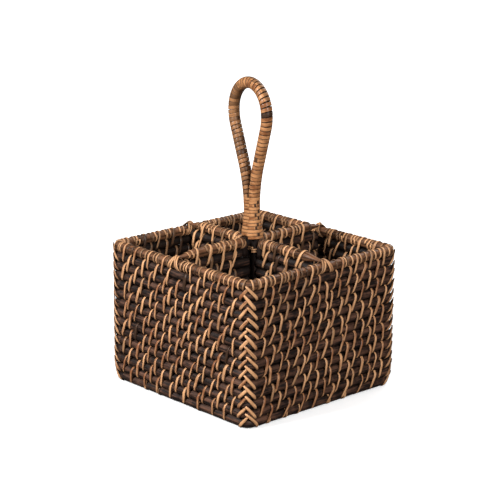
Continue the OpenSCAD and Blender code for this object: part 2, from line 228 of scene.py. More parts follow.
class Mesh:
    """Collects grids of the shape (pieces, along, around) and makes one object of them."""

    def __init__(self):
        self.points, self.tones, self.corners, self.sizes = [], [], [], []
        self.maps, self.count = [], 0

    def add(self, grid, tone, closed=False, start=0.0):
        """Adds one grid or several. Quads join each ring to the next, and a flat face closes
        each open end. The map runs in metres along a piece and once round it. tone is a
        value, or one for each piece of several, or one for each ring."""
        tone = np.asarray(tone, float)
        if grid.ndim == 3:
            grid, tone = grid[None], tone[None]
        k, n, m, _ = grid.shape
        index = np.arange(k * n * m).reshape(k, n, m) + self.count
        ahead = np.roll(index, -1, axis=1) if closed else index[:, 1:]
        here = index if closed else index[:, :-1]
        faces = np.stack([here, np.roll(here, -1, axis=2), np.roll(ahead, -1, axis=2), ahead], -1)
        middle = grid.mean(axis=2)
        along = distance_along(middle)
        if closed:
            whole = along[:, -1:] + np.linalg.norm(middle[:, :1] - middle[:, -1:], axis=-1)
            along = np.concatenate([along, whole], axis=1)
        along = along + start
        u0, u1, v0 = (np.broadcast_to(values, faces.shape[:3]) for values in
                      (along[:, :-1, None], along[:, 1:, None], np.arange(m) / m))
        maps = np.stack([np.stack(pair, -1) for pair in
                         ((u0, v0), (u0, v0 + 1 / m), (u1, v0 + 1 / m), (u1, v0))], -2)
        # where the corners run the wrong way round, seen from outside, the faces are flipped
        outward = np.einsum("...i,...i", grid[:, :-1] - middle[:, :-1, None],
                            np.cross(np.roll(grid, -1, 2)[:, :-1] - grid[:, :-1],
                                     grid[:, 1:] - grid[:, :-1])).sum(axis=(1, 2))
        flipped = outward < 0
        faces[flipped] = faces[flipped][..., ::-1]
        maps[flipped] = maps[flipped][..., ::-1, :]
        self.points.append(grid.reshape(-1, 3))
        tone = tone.reshape(tone.shape + (1,) * (3 - tone.ndim))
        self.tones.append(np.broadcast_to(tone, (k, n, m)).reshape(-1))
        self.corners.append(faces.reshape(-1))
        self.sizes.append(np.full(faces.size // 4, 4))
        self.maps.append(maps.reshape(-1, 2))
        if not closed:
            for ring, back in ((index[:, 0], True), (index[:, -1], False)):
                ring = np.where((flipped ^ back)[:, None], ring[:, ::-1], ring)
                self.corners.append(ring.reshape(-1))
                self.sizes.append(np.full(k, m))
                self.maps.append(np.full((k * m, 2), 0.5 / m))
        self.count += k * n * m

    def piece(self, name, finish, slot, *nodes):
        """Makes the object, with the attribute tone, and lets it stand for CAD nodes."""
        mesh = bpy.data.meshes.new(name)
        corners = np.concatenate(self.corners).astype(np.int32)
        sizes = np.concatenate(self.sizes).astype(np.int32)
        mesh.vertices.add(self.count)
        mesh.vertices.foreach_set("co", np.concatenate(self.points).astype(np.float32).ravel())
        mesh.loops.add(len(corners))
        mesh.loops.foreach_set("vertex_index", corners)
        mesh.polygons.add(len(sizes))
        mesh.polygons.foreach_set("loop_start", np.cumsum(sizes, dtype=np.int32) - sizes)
        mesh.polygons.foreach_set("use_smooth", np.ones(len(sizes), bool))
        layer = mesh.uv_layers.new(name="UVMap")
        layer.data.foreach_set("uv", np.concatenate(self.maps).astype(np.float32).ravel())
        tone = mesh.attributes.new("tone", "FLOAT", "POINT")
        tone.data.foreach_set("value", np.concatenate(self.tones).astype(np.float32))
        mesh.update(calc_edges=True)
        mesh.validate()
        mesh.materials.append(materials()[finish])
        made = bpy.data.objects.new(name, mesh)
        bpy.context.scene.collection.objects.link(made)
        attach(made, "root")
        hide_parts(*nodes)


# Paths ----------------------------------------------------------------------

def turned(points, quarter_turns):
    """Points turned about Z by quarter turns: x' = x cos - y sin, y' = x sin + y cos."""
    a = quarter_turns * np.pi / 2
    c, s = round(math.cos(a)), round(math.sin(a))
    return points @ np.array([[c, s, 0], [-s, c, 0], [0, 0, 1.0]])


def row_height(i):
    """Height of a row's middle: the foot row's plus so many times the pitch."""
    return caddy.rods.first_z + i * caddy.rods.pitch


def row_half(i):
    """Distance from the middle of the caddy to a row's centre line."""
    return caddy.rods.foot_half if i == 0 else caddy.rods.half


def on_wall(points, side, i):
    """Carries points drawn round a rod along X to a row of one of the walls."""
    return turned(points + [0, -row_half(i), row_height(i)], side)


def on_ground(points):
    """Points with those below the ground raised to it, as the foot presses cane flat."""
    return np.maximum(points, [-1.0, -1.0, 0.00004])


def ring_path(half, corner):
    """A row's centre line and outward directions, anticlockwise from the front wall's middle:
    straight runs joined by quarter circles of the corner's radius."""
    run = half - corner
    straight = np.linspace(-run, run, 61)[1:-1]
    level = np.zeros(len(straight))
    a = np.linspace(-np.pi / 2, 0, 11)
    path = (np.append(straight, run + corner * np.cos(a)),
            np.append(level - half, -run + corner * np.sin(a)))
    outward = np.append(level, np.cos(a)), np.append(level - 1, np.sin(a))
    return [np.concatenate([turned(xyz(x, y, 0), s) for s in range(4)])
            for x, y in (path, outward)]


def knots(along, seed, every, height):
    """Swellings of a rattan rod at its joints: bell curves 3 mm wide at places about every
    so far apart, each shifted by up to a third of that distance."""
    rng = np.random.default_rng(seed)
    places = np.arange(0.3 * every, along.max(), every)
    places = places + rng.uniform(-0.33, 0.33, len(places)) * every
    return height * np.exp(-((along[..., None] - places) / 0.0018) ** 2).sum(axis=-1)


def row_tube(i, seed):
    """A row of rod as an oval tube, with its joints about 17 cm apart and a slow wander that
    fades out over 20 mm where the ring closes."""
    rods = caddy.rods
    path, out = ring_path(row_half(i), rods.corner)
    s = distance_along(path)
    blend = np.clip(np.minimum(s, s[-1] - s) / 0.02, 0, 1)
    path = path + out * (rods.wobble * wave(seed, s, 0.09) * blend)[:, None]
    path = path + 0.3 * UP * (rods.wobble * wave(seed + 1, s, 0.11) * blend)[:, None]
    path = path + [0, 0, row_height(i)]
    size = rods.radius * (0.985 + 0.025 * wave(seed + 2, s, 0.05) * blend)
    size = size + knots(s, seed + 3, 0.17, 0.00022)
    return tube(path, out, size, 16, closed=True, tall=rods.rise / rods.radius)


def stitch_path(spacing, low_rise, high_rise, outer_step, inner_step, bow):
    """One winding of a strip round two oval rods along X. It starts in the gap under the lower
    rod, climbs the outer face from crest to crest, passes through the gap over the upper rod
    and comes down the inner face. Each crest is an arc of three points on the rod's oval.
    x grows evenly with the height on each face, with a parabola of the bow's height on top
    on the outer one. The lower end is pressed into the rod a little. Gives points, with
    outside as -Y, normals and each point's share of the full width, which falls off towards
    the gaps."""
    a = np.radians([-64, -34, 0, 0, 34, 64])
    sunk = np.array([0.0005, 0.0002, 0, 0, 0, 0])
    rise = np.repeat([low_rise, high_rise], 3) + SEAT - sunk
    out = (caddy.rods.radius + SEAT - sunk) * np.cos(a)
    up = rise * np.sin(a) + np.repeat([0, spacing], 3)
    face = np.stack([out, up, np.cos(a), np.sin(a)], -1)
    start, top = [0, -low_rise - SEAT, 0, -1], [0, spacing + high_rise + SEAT, 0, 1]
    section = np.concatenate([[start], face, [top], face[::-1] * [-1, 1, -1, 1], [start]])
    side = len(face) + 2
    share = (section[:side, 1] + low_rise + SEAT) / (spacing + low_rise + high_rise + 2 * SEAT)
    outer, inner = outer_step[:, None], inner_step[:, None]
    curve = bow[:, None] * (1 - (2 * share - 1) ** 2)
    x = np.concatenate([(share - 0.5) * outer + curve, outer / 2 + share[1:] * inner], axis=1)
    fall = np.interp(share, [0, 0.1, 0.3, 0.8, 1], [0.35, 0.55, 1.0, 0.97, 0.8])
    return (xyz(x, -section[:, 0], section[:, 1]), xyz(0, -section[:, 2], section[:, 3]),
            np.concatenate([fall, fall[-2::-1]]))


def lash(mesh, places, spacing, seed, put, rises, painted_shade, stained=(), lean=1.0):
    """Stitches at places along two rods, each with its own shift, lean, bow, width and tone.
    put carries points from the rods' own frame to the caddy. rises are the two rods' half
    heights, and painted_shade is painted shade, added to the tone on the outer and on the
    inner side. Places listed in stained are dark, and a few others take some of the stain."""
    strips = caddy.strips
    rng = np.random.default_rng(seed)
    n = len(places)
    about_one = lambda spread, low, high: np.clip(rng.normal(1.0, spread, n), low, high)
    outer_step = strips.outer_step * lean * about_one(0.36, 0.2, 1.8)
    inner_step = strips.inner_step * about_one(0.3, 0.3, 1.7)
    path, normal, fall = stitch_path(spacing, *rises, outer_step, inner_step,
                                     rng.normal(0.0002, 0.0005, n))
    shift = places + np.clip(rng.normal(0, 1, n), -1.8, 1.8) * strips.wander
    path = path + xyz(shift, 0, 0)[:, None]
    width = strips.width * about_one(0.15, 0.72, 1.4)[:, None] * fall
    tone = rng.uniform(0.0, 1.0, n)
    tone = np.where(rng.uniform(size=n) < 0.1, rng.uniform(1.2, 2.0, n), tone)
    for x in stained:
        tone[np.abs(places - x) < strips.wall_stitch / 4] = 3.0
    # painted shade: the strips darken at their lower ends, where they are narrow and go under
    # the rod, and take the painted shade given for their outer and inner side
    inner = np.arange(len(fall)) > len(fall) // 2
    mesh.add(put(strip(path, normal, width, strips.thickness)),
             tone[:, None] + 2.1 * np.clip((0.8 - fall) / 0.4, 0, 1)
             + np.where(inner, painted_shade[1], painted_shade[0]))


def loops_round(mesh, places, tilt, seed, put, wide=1.0):
    """Short loops of strip round one oval rod along X: an oval whose x grows with the angle,
    so that each loop leans as part of a coil. The ends overlap on the inner side."""
    rods, strips = caddy.rods, caddy.strips
    rng = np.random.default_rng(seed)
    n = len(places)
    a = np.radians(np.linspace(-205, 170, 13))
    out, up = np.cos(a), np.sin(a)
    lean = tilt * rng.normal(1.0, 0.6, n)
    x = np.asarray(places)[:, None] + lean[:, None] * (a / np.pi)
    path = xyz(x, -(rods.radius + SEAT) * out, (rods.rise + SEAT) * up)
    width = strips.width * wide * rng.uniform(0.55, 0.85, (n, 1))
    mesh.add(put(strip(path, xyz(0, -out, up), width, strips.thickness * 0.7)),
             rng.uniform(0.9, 2.6, n))


# Materials ------------------------------------------------------------------

def feed(tree, socket, value):
    """Links a socket to the one that is given as its value, or else sets the value."""
    if isinstance(value, bpy.types.NodeSocket):
        tree.links.new(value, socket)
    else:
        socket.default_value = value


def node(tree, kind, inputs=(), **settings):
    """A new node with its settings and with what each of its inputs is fed."""
    made = tree.nodes.new(kind)
    for key, value in settings.items():
        setattr(made, key, value)
    for key, value in dict(inputs).items():
        feed(tree, made.inputs[key], value)
    return made


def maths(tree, operation, *values):
    """One operation on one or two numbers."""
    return node(tree, "ShaderNodeMath", dict(enumerate(values)), operation=operation).outputs[0]


def ranged(tree, value, low, high, out_low=0.0, out_high=1.0):
    """A value carried from one range to another and held inside it."""
    return node(tree, "ShaderNodeMapRange",
                {0: value, 1: low, 2: high, 3: out_low, 4: out_high}).outputs[0]


def blend_colours(tree, factor, first, second):
    """Mixes a colour, or the one that a socket gives, with a second colour by a factor."""
    if not isinstance(first, bpy.types.NodeSocket):
        first = (*first, 1.0)
    return node(tree, "ShaderNodeMix", {0: factor, 6: first, 7: (*second, 1.0)},
                data_type="RGBA").outputs[2]


def noise(tree, place, detail):
    """Cloudy noise at a place."""
    return node(tree, "ShaderNodeTexNoise", {"Vector": place, "Scale": 1.0, "Detail": detail,
                                             "Roughness": 0.6}).outputs["Fac"]


def fibre_group():
    """Grain that runs along a rod or strip. Fine noise is stretched along the map's first
    direction, and slow noise adds patches. Out come the grain, the patches, and how far a
    point lies from the middle of the visible face, which is at Middle of the way round."""
    group = bpy.data.node_groups.new("Rattan fibre", "ShaderNodeTree")
    for way, labels in (("INPUT", ("Vector", "Tone", "Along", "Around", "Faces", "Middle")),
                        ("OUTPUT", ("Grain", "Patches", "Aside"))):
        for label in labels:
            kind = "NodeSocketVector" if label == "Vector" else "NodeSocketFloat"
            group.interface.new_socket(label, in_out=way, socket_type=kind)
    start = group.nodes.new("NodeGroupInput").outputs
    end = group.nodes.new("NodeGroupOutput").inputs
    split = node(group, "ShaderNodeSeparateXYZ", {0: start["Vector"]}).outputs
    # the tone moves each strip to its own part of the noise
    apart = maths(group, "MULTIPLY", start["Tone"], 37.0)
    for label, along, around, detail in (("Grain", start["Along"], start["Around"], 3.0),
                                         ("Patches", 90.0, 1.6, 2.0)):
        place = node(group, "ShaderNodeCombineXYZ", {
            0: maths(group, "MULTIPLY", split[0], along),
            1: maths(group, "MULTIPLY", split[1], around), 2: apart})
        feed(group, end[label], noise(group, place.outputs[0], detail))
    faces = maths(group, "MULTIPLY", split[1], start["Faces"])
    turn = maths(group, "ADD", maths(group, "SUBTRACT", faces, start["Middle"]), 2.5)
    aside = maths(group, "SUBTRACT", maths(group, "FRACT", turn), 0.5)
    feed(group, end["Aside"], maths(group, "ABSOLUTE", aside))
    return group


def new_material(name):
    """A new material's node tree."""
    material = bpy.data.materials.new(name)
    material.use_nodes = True
    return material.node_tree


def dress(tree, colour_in, rough, grain, bump, depth, specular):
    """Feeds the shader its colour, roughness and shine, and the grain as a bump."""
    lift = node(tree, "ShaderNodeBump", {"Strength": bump, "Distance": depth, "Height": grain})
    shader = tree.nodes["Principled BSDF"]
    for key, value in (("Base Color", colour_in), ("Roughness", rough),
                       ("Specular IOR Level", specular), ("Normal", lift.outputs[0])):
        feed(tree, shader.inputs[key], value)


def rattan_material(fibre, name, dark, worn, stain, edge_shade, rough, wear, edge, bump,
                    spread, grain):
    """Stained rattan: two tones mixed by the grain and by slow patches, and by a strip's own
    tone, in the edge colour aside of the visible face, which is painted shade, with the
    grain as a fine bump. As the tone goes from 1.2 to 2.6, the strip turns to the stain,
    which is real stain in some places and painted shade in others."""
    tree = new_material(name)
    place = node(tree, "ShaderNodeUVMap", uv_map="UVMap").outputs[0]
    tone = node(tree, "ShaderNodeAttribute", attribute_name="tone").outputs["Fac"]
    inputs = dict(zip(("Along", "Around", "Faces", "Middle"), grain), Vector=place, Tone=tone)
    made = node(tree, "ShaderNodeGroup", inputs, node_tree=fibre).outputs
    patches = ranged(tree, made["Patches"], 0.3, 0.7, -0.16, 0.16)
    shade = maths(tree, "ADD", maths(tree, "ADD", made["Grain"], patches),
                  ranged(tree, tone, 0.0, 1.0, -spread, spread))
    mixed = blend_colours(tree, ranged(tree, shade, *wear), dark, worn)
    # painted shade: aside of the visible face the colour turns to the edge colour
    mixed = blend_colours(tree, ranged(tree, made["Aside"], *edge, 0.0, 0.9), mixed, edge_shade)
    # the stain holds real stains, and painted shade where the tone is raised to darken shaded
    # places
    mixed = blend_colours(tree, ranged(tree, tone, 1.2, 2.6), mixed, stain)
    rough = ranged(tree, made["Patches"], 0.3, 0.7, rough - 0.07, rough + 0.09)
    dress(tree, mixed, rough, made["Grain"], bump, 0.0004, 0.25)


def solid_grain_material(name, dark, worn, rough, axis_scale):
    """The same stain for straight rods that keep their solid: noise on Object coordinates,
    stretched along the rods by smaller numbers on their axis."""
    tree = new_material(name)
    place = node(tree, "ShaderNodeTexCoord").outputs["Object"]
    stretched = node(tree, "ShaderNodeMapping", {"Vector": place, "Scale": axis_scale})
    grain = noise(tree, stretched.outputs[0], 3.0)
    mixed = blend_colours(tree, ranged(tree, grain, 0.42, 0.68), dark, worn)
    dress(tree, mixed, rough, grain, 0.3, 0.0003, 0.5)


def materials():
    """All materials by name. The caddy's own are made on the first call."""
    if "Stained rod" in bpy.data.materials:
        return bpy.data.materials
    c = caddy.colours
    fibre = fibre_group()
    # dark and worn tones, stain, edge colour as painted shade, roughness, ranges of wear and
    # edge, bump, spread of tone, and the grain's Along, Around, Faces and Middle
    for row in (
            # painted shade: the wall rods darken towards the gaps between rows and all over the
            # walls' inner side, round a lighter middle raised a little towards the light; the
            # divider rods darken towards the gaps over and under them
            ("Wall rod", c.rod_dark, c.rod_worn, c.rod_dark, c.rod_gap, 0.5, (0.40, 0.72),
             (0.04, 0.19), 0.8, 0.04, (45.0, 16.0, 1.0, 0.95)),
            ("Stained rod", c.rod_dark, c.rod_worn, c.rod_dark, c.rod_gap, 0.55, (0.46, 0.80),
             (0.08, 0.36), 0.8, 0.04, (45.0, 16.0, 2.0, 0.0)),
            # painted shade: the rim darkens on its outward and inward faces, leaving its top
            # lighter
            ("Rim rod", c.rim_dark, c.rim_worn, c.rod_dark, c.rim_dark, 0.45, (0.30, 0.62),
             (0.36, 0.5), 0.6, 0.15, (45.0, 14.0, 2.0, 0.5)),
            # painted shade: the strips darken towards their edges and sides, and the handle's
            # turns towards the lines between them
            ("Split cane", c.cane_deep, c.cane_light, c.cane_stain, c.cane_stain, 0.36,
             (0.30, 0.65), (0.09, 0.20), 0.25, 0.13, (70.0, 9.0, 1.0, 0.625)),
            ("Handle cane", c.wrap_deep, c.wrap_light, c.cane_stain, c.cane_stain, 0.34,
             (0.26, 0.62), (0.053, 0.075), 0.25, 0.15, (90.0, 9.0, 1.0, 0.5625))):
        rattan_material(fibre, *row)
    solid_grain_material("Base rod", c.rod_dark, c.rod_worn, 0.45, (40, 900, 900))
    solid_grain_material("Base cane", c.cane_deep, c.cane_light, 0.42, (300, 300, 300))
    return bpy.data.materials


# Operators ------------------------------------------------------------------

class CADDY_OT_wall_rods(bpy.types.Operator):
    """Winds the rows of dark rod in the walls and the brown rim rod"""
    bl_idname = "caddy.wall_rods"
    bl_label = "Wall rods"

    def execute(self, context):
        top = caddy.rods.rows - 1
        for name, rows, finish, slot in (("wall_rods_low", range(0, 7), "Wall rod", "rod"),
                                         ("wall_rods_high", range(7, top), "Wall rod", "rod"),
                                         ("rim", range(top, top + 1), "Rim rod", "rim")):
            mesh = Mesh()
            for i in rows:
                # each row has its own shade and its own part of the noise
                mesh.add(row_tube(i, 40 + 10 * i), (0.37 * i + 0.4) % 1, closed=True,
                         start=0.37 * i)
            mesh.piece(name, finish, slot,
                       *({0: "foot_rod", top: "rim_rod"}.get(i, f"wall_rod_{i}") for i in rows))
        return {"FINISHED"}


def wall_places(i, side):
    """Places of a row's stitches along a wall: even steps, half a step apart in alternate
    rows. The row under the rim leaves out the one where a divider is tied on."""
    step = caddy.strips.wall_stitch
    n = 4 if i % 2 else 3.5
    places = np.arange(-n, n + 0.5) * step
    if i == caddy.rods.rows - 2:
        places = places[np.abs(places - meeting_x(side)) > step / 2]
    return places


def meeting_x(side):
    """Where a divider meets a wall, along that wall seen from outside."""
    return {0: 1, 2: -1}.get(side, 0) * caddy.dividers.offset


# How strongly the stitches of the front, right, back and left walls lean, as shares of the
# outer step, and the painted shade added to the tone on the inner side of these walls
LEANS = (0.8, 1.25, 1.0, 1.0)
SHADE_INSIDE = (1.5, 1.5, 1.2, 1.8)
# Stained stitches, by wall and row: places along the wall
STAINED = {(0, 12): [0.0088], (0, 10): [0.0176], (0, 5): [-0.0528], (0, 6): [0.0616]}


class CADDY_OT_wall_lashing(bpy.types.Operator):
    """Lashes each pair of rows on the four walls with strips of cane"""
    bl_idname = "caddy.wall_lashing"
    bl_label = "Wall lashing"

    def execute(self, context):
        rods, strips = caddy.rods, caddy.strips
        rows = range(rods.rows - 1)
        for side, name in enumerate(SIDES):
            mesh = Mesh()
            for i in rows:
                out, gain = row_half(i), row_half(i + 1) - row_half(i)
                # the stitches of the foot row lean out to the wider row above it
                put = lambda p: turned(
                    p + [0, -out, row_height(i)]
                    - gain * np.clip(p[..., 2:] / rods.pitch, 0, 1) * [0, 1, 0], side)
                low = rods.first_z - strips.thickness - LOOSE if i == 0 else rods.rise
                # painted shade on the inner side, darker for each row further down
                depth_shade = SHADE_INSIDE[side] + 0.12 * (rods.rows - 2 - i)
                lash(mesh, wall_places(i, side), rods.pitch, 300 + 50 * side + i, put,
                     (low, rods.rise), (0.0, depth_shade), STAINED.get((side, i), ()), LEANS[side])
            # short loops round the foot row in some of its spaces
            rng = np.random.default_rng(280 + side)
            places = (np.arange(-4, 4) + 0.5 + rng.uniform(-0.12, 0.12, 8)) * strips.wall_stitch
            loops_round(mesh, places[rng.uniform(size=8) < 0.6], 0.0016, 290 + side,
                        lambda p: on_ground(on_wall(p, side, 0)), 1.25)
            mesh.piece(f"wall_lashing_{name}", "Split cane", "cane",
                       *(f"wall_lashing_{i}" for i in rows))
        return {"FINISHED"}


def short_places(longs, step, seed, three, two):
    """Places of the short loops between long stitches. Each space has three or two of them,
    at shares of the step, and each loop strays a little."""
    rng = np.random.default_rng(seed)
    places = []
    for x in longs:
        shares = three if rng.uniform() < 0.55 else two
        places += [x + (s + rng.uniform(-0.05, 0.05)) * step for s in shares]
    return np.array(places)


class CADDY_OT_rim_loops(bpy.types.Operator):
    """Coils short loops of cane round the rim between its long stitches"""
    bl_idname = "caddy.rim_loops"
    bl_label = "Rim loops"

    def execute(self, context):
        rods, step = caddy.rods, caddy.strips.wall_stitch
        # no loop lies where the corner bends or where a divider is tied on
        last = rods.half - rods.corner - 0.001
        mesh = Mesh()
        for side in range(4):
            places = short_places(np.arange(-5, 5) * step + 0.0013, step, 880 + side,
                                  (0.27, 0.45, 0.68), (0.31, 0.62))
            clear = np.abs(places - meeting_x(side)) > step / 2 - 0.001
            loops_round(mesh, places[(np.abs(places) < last) & clear], 0.0011, 900 + side,
                        lambda p: on_wall(p, side, rods.rows - 1))
        mesh.piece("rim_loops_coiled", "Split cane", "cane", "rim_loops")
        return {"FINISHED"}


def round_corner(turn, out, z, tilt):
    """Points round a corner whose bend is centred on the Z axis, and their normals. turn
    counts from the bend's middle: within the bend it is an angle in eighths of a circle, from
    -1 to 1, and past it the rods run straight. out is the distance from the rods' centre
    line, and tilt the angle of the normal above the level."""
    corner = caddy.rods.corner
    inside = np.clip(turn, -1, 1)
    a = (inside - 1) * np.pi / 4
    radial, tangent = xyz(np.cos(a), np.sin(a), 0), xyz(-np.sin(a), np.cos(a), 0)
    points = radial * (corner + out)[..., None] + tangent * ((turn - inside) * corner)[..., None]
    normals = unit(radial * np.cos(tilt)[:, None] + UP * np.sin(tilt)[:, None])
    return points + xyz(0, 0, z), normals


# The two hands of a chevron: which way each leads from the edge, ranges of its rise in rows
# and of its reach in the turns of round_corner, and how far its top lies over the other's
HANDS = ((-1, (1.2, 1.4), (1.1, 1.45), 0.0), (1, (1.45, 1.75), (1.05, 1.4), 0.0007))
# Loops over the rim at a corner: their turn from the edge and how far they lean
CORNER_LOOPS = ((-0.55, 0.25), (0.5, -0.2), (-1.3, 0.3), (1.35, 0.25))


class CADDY_OT_corner_lacing(bpy.types.Operator):
    """Laces the corners: one chevron of cane over each pair of rows"""
    bl_idname = "caddy.corner_lacing"
    bl_label = "Corner lacing"

    def execute(self, context):
        rods, strips = caddy.rods, caddy.strips
        rho, tall = rods.radius + LOOSE, rods.rise + LOOSE
        n = rods.rows - 1
        halves = np.array([row_half(i) for i in range(n)])
        feet = xyz(halves - rods.corner, rods.corner - halves, [row_height(i) for i in range(n)])
        low = np.radians([-72, -42, -14])
        for c, name in enumerate(CORNERS):
            mesh = Mesh()
            rng = np.random.default_rng(500 + c)
            for hand, rises, reaches, lap in HANDS:
                # an arc under the lower row's crest, then straight up
                rise = rods.pitch * rng.uniform(*rises, n)
                climb = np.linspace(0, 1, 6) * (rise[:, None] - rods.pitch / 2)
                z = np.concatenate([np.tile(rods.rise * np.sin(low), (n, 1)), climb], axis=1)
                t = (z + rods.pitch / 2) / rise[:, None]
                over = np.clip((t - 0.6) / 0.4, 0, 1) * lap
                reach = rng.uniform(*reaches, n)[:, None]
                top = rng.uniform(-0.36, -0.14, n)[:, None] if lap else 0.05
                turn = hand * (reach - t * (reach - top)) + rng.normal(0, 0.09, n)[:, None]
                gain = (rods.half - halves)[:, None] * np.clip(z / rods.pitch, 0, 1)
                out = np.append(rho * np.cos(low), np.full(6, rho))
                path, normal = round_corner(turn, out + over + gain, z,
                                            np.append(low, np.zeros(6)))
                fall = np.interp(t, [0, 0.25, 0.8, 1], [0.6, 1.0, 0.95, 0.55])
                width = strips.width * rng.uniform(0.98, 1.22, n)[:, None] * fall
                grid = strip(path, normal, width, strips.thickness) + feet[:, None, None]
                mesh.add(on_ground(turned(grid, c)), rng.uniform(0, 1.4, n))
            a = np.radians(np.linspace(-200, 165, 16))
            for place, lean in CORNER_LOOPS:
                path, normal = round_corner(place + lean * a / np.pi, rho * np.cos(a),
                                            tall * np.sin(a), a)
                grid = strip(path, normal, strips.width * 0.62, strips.thickness * 0.75)
                half = rods.half - rods.corner
                mesh.add(turned(grid + [half, -half, row_height(n)], c), rng.uniform(0.7, 2.2))
            mesh.piece(f"corner_chevrons_{name}", "Split cane", "cane", f"corner_lacing_{name}")
        return {"FINISHED"}


# Radius of the elbows of the dividers' top rods, and length of their shaved ends
ELBOW, TAPER = 0.005, 0.014


def wing_put(w):
    """Carries points from a wing drawn along +X to its place in the crossed dividers."""
    return lambda p: turned(p, w) + [caddy.dividers.offset if w % 2 else 0.0, 0.0, 0.0]


def post_axis_x(z):
    """Where the leaning post's axis is along X at a height."""
    handle = caddy.handle
    return handle.foot_x - math.tan(handle.lean) * math.cos(handle.turn) * z


def divider_pitch():
    """Height from one row of a divider to the next."""
    d = caddy.dividers
    return (d.top_z - d.foot_z) / (d.rows - 1)


def wing_rise():
    """Half height of a divider's rods, which fill the way from row to row."""
    return divider_pitch() / 2 - 0.00006


def elbow_x(w):
    """Centre of the bent-down end of a wing's top rod, beside the post."""
    d, handle = caddy.dividers, caddy.handle
    radius = caddy.rods.radius
    play = 0.0009
    side = 2 * handle.core * math.cos(handle.turn) + play
    if w == 0:
        return radius + post_axis_x(d.top_z - divider_pitch()) + side
    if w == 2:
        return radius + side - post_axis_x(d.top_z)
    return radius + handle.core * (1 + math.sin(-handle.turn)) + play


class CADDY_OT_divider_rods(bpy.types.Operator):
    """Stacks the straight rods of the four divider wings and bends their top rods"""
    bl_idname = "caddy.divider_rods"
    bl_label = "Divider rods"

    def execute(self, context):
        rods, d = caddy.rods, caddy.dividers
        both_legs = caddy.handle.core * 2
        bevel, inset = 0.0004, 0.002
        for w, name in enumerate(WINGS):
            put = wing_put(w)
            mesh = Mesh()
            for k in range(d.rows - 1):
                z = d.foot_z + k * divider_pitch()
                # the rod starts just past the crossing wings, the post's legs or the elbow
                start = rods.radius + 0.0003
                if w == 0:
                    start = post_axis_x(z) + both_legs + 0.0004
                if w == 2:
                    start = both_legs + 0.0004 - post_axis_x(z)
                if k == d.rows - 2:
                    start = elbow_x(w) + rods.radius + 0.0002
                x = np.concatenate([[start, start + bevel],
                                    np.linspace(start + inset, d.reach - inset, 24),
                                    [d.reach - bevel, d.reach]])
                seed = 1200 + 40 * w + k
                size = rods.radius * (0.98 + 0.02 * wave(seed + 1, x, 0.05))
                size[[0, -1]] -= bevel
                path = xyz(x, rods.wobble * wave(seed, x, 0.08) * 0.6, z)
                mesh.add(put(tube(path, FRONTWARD, size, 14, tall=wing_rise() / rods.radius)),
                         (0.21 * k + 0.3 * w) % 1, start=0.31 * k)
            mesh.piece(f"divider_wing_{name}", "Stained rod", "rod", f"divider_rods_{name}")
            mesh = Mesh()
            grid, tone = top_rod(w)
            mesh.add(put(grid), tone, start=0.2 * w)
            mesh.piece(f"divider_top_{name}_rod", "Rim rod", "rim", f"divider_top_{name}")
        return {"FINISHED"}


def top_rod(w):
    """A wing's top rod: up from beside the post on an elbow, straight, then shaved to a flat
    tongue that dips onto the rim. Gives the grid and its tone, with painted shade at the post."""
    rods, d = caddy.rods, caddy.dividers
    a = np.radians(np.linspace(180, 90, 9))
    ex, wall = elbow_x(w), rods.half - rods.radius
    drop = np.linspace(ELBOW + divider_pitch() - 0.002, ELBOW + 0.001, 3)
    x = np.concatenate([np.full(3, ex), ex + ELBOW + ELBOW * np.cos(a),
                        np.linspace(ex + ELBOW + 0.004, wall - TAPER, 14),
                        np.linspace(wall - TAPER + 0.002, wall, 6),
                        wall + rods.radius * np.array([0.7, 1.2, 1.3])])
    # how far the rod has become a tongue, which lies on the rim and is thinner and flatter
    tongue = np.interp(x, [wall - TAPER, wall - 0.001], [0, 1])
    flat_z = row_height(rods.rows - 1) + rods.rise + 0.0012
    z = np.concatenate([-drop, -ELBOW + ELBOW * np.sin(a), np.zeros(23)]) + d.top_z
    z = z + tongue * (flat_z - d.top_z)
    size = rods.radius - 0.00004 - tongue * 0.0016
    size[-1] -= 0.0008
    plain_tone = 0.8 + 0.1 * w
    # painted shade: the bent-down end beside the post turns to the dark stain colour
    tone = np.interp(z, [d.top_z - 0.004, d.top_z - 0.001], [3.0, plain_tone])
    path = xyz(x, 0.0002 * wave(1500 + w, x, 0.05), z)
    return (tube(path, FRONTWARD, size, 16, tall=1.04 - 0.5 * tongue),
            np.where(x > ex + ELBOW, plain_tone, tone))


def on_elbow(points, turn, bend_x):
    """Carries points drawn round the X axis to an angle on a top rod's elbow: X becomes the
    way along the bend and Z its outward direction."""
    c, s = math.cos(turn), math.sin(turn)
    axes = np.array([[c, 0, s], [0, 1, 0], [-s, 0, c]])
    return points @ axes + [bend_x - ELBOW * s, 0, ELBOW * (c - 1)]


def wing_places(k):
    """Places of a wing row's stitches, counted inwards from 7 mm before the rods' ends. The
    row under the top rod leaves out the first."""
    d, outermost = caddy.dividers, caddy.dividers.reach - 0.007
    n = np.arange(1, 5) if k == d.rows - 2 else np.arange(0, 5) if k % 2 else np.arange(0.5, 4)
    return outermost - n * caddy.strips.divider_stitch


# Loops on the tongue of a wing's top rod: the place, and how the loop is narrowed and lowered,
# and how many of them each wing has
TONGUE_LOOPS = ((0.0692, 0.93, 0.82), (0.0733, 0.8, 0.59))
LOOPS_ON_TONGUE = (0, 1, 1, 2)


